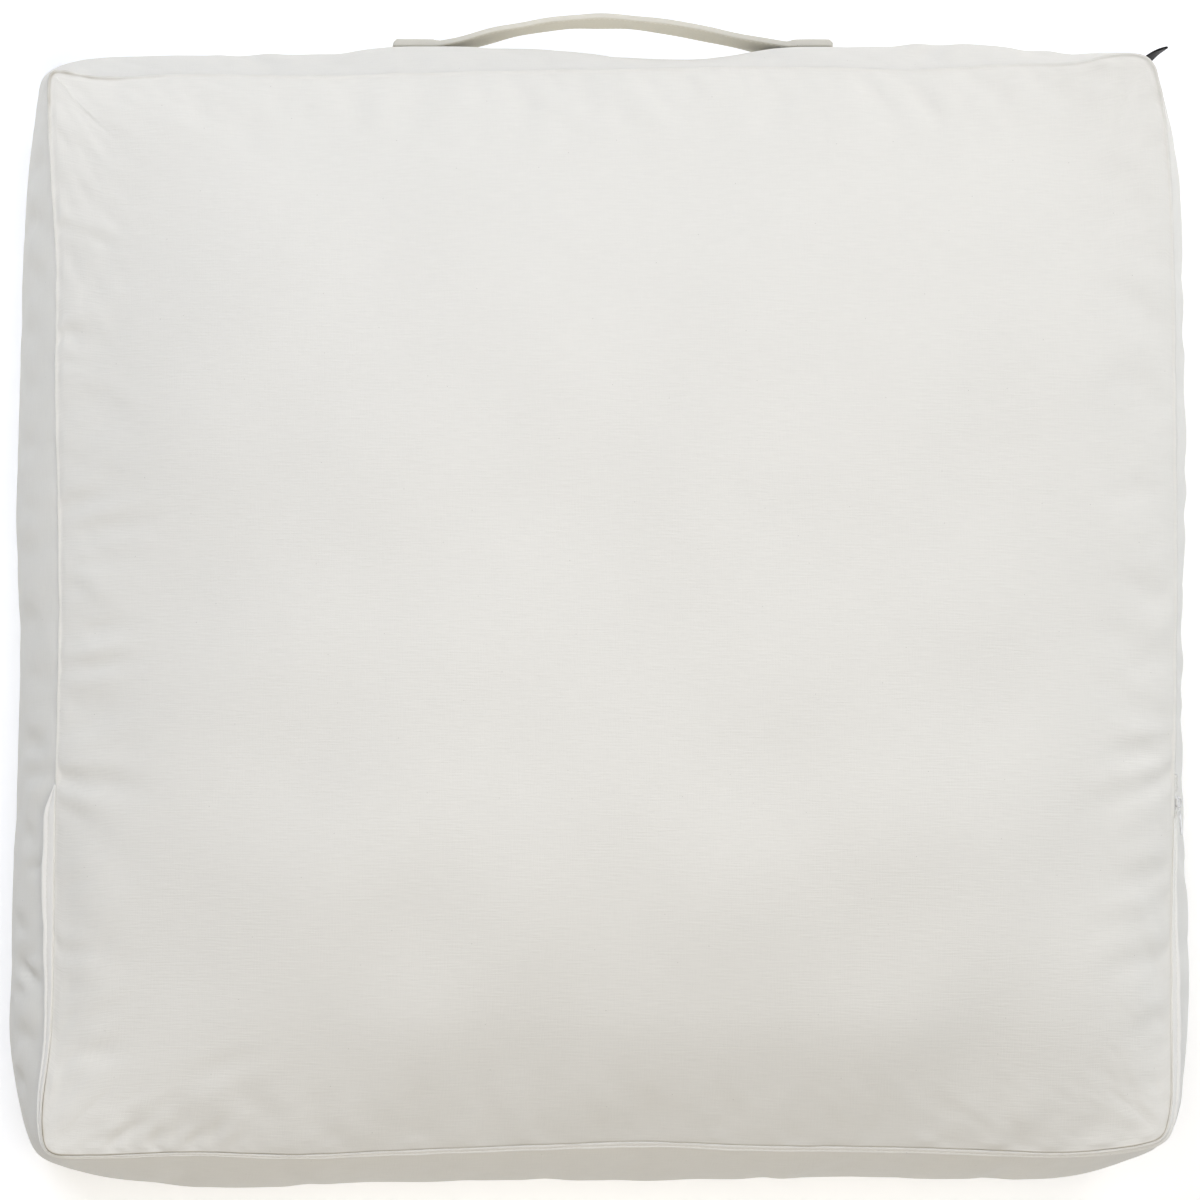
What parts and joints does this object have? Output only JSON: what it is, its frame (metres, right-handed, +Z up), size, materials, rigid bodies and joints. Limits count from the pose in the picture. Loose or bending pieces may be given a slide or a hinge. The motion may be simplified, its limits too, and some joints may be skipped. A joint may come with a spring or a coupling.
{
  "type": "square floor pillow",
  "caption": "Square box-edge floor pillow, filled and crowned, with a cloth carry handle, a covered zip and a plain ribbon tab; it lies flat on the floor.",
  "frame": {"origin": "middle of the flat resting face, on the floor", "axes": "+Z up out of the face panel, +Y towards the handle, +X towards the side where the zip slider stops"},
  "size_m": [0.7036, 0.701, 0.2017],
  "materials": {
    "cover_cotton": "fine plain-weave cotton, off-white",
    "zip_enamel": "white enamel",
    "zip_tape": "woven white tape",
    "tab_ribbon": "black satin ribbon, blank"
  },
  "bodies": {
    "root": {"pillow_body": "cover_cotton", "zip_lip": "cover_cotton", "handle": "cover_cotton", "zip_slider": "zip_enamel", "zip_pull": "zip_enamel", "zip_tape_end": "zip_tape", "label_tab": "tab_ribbon"}
  },
  "joints": []
}
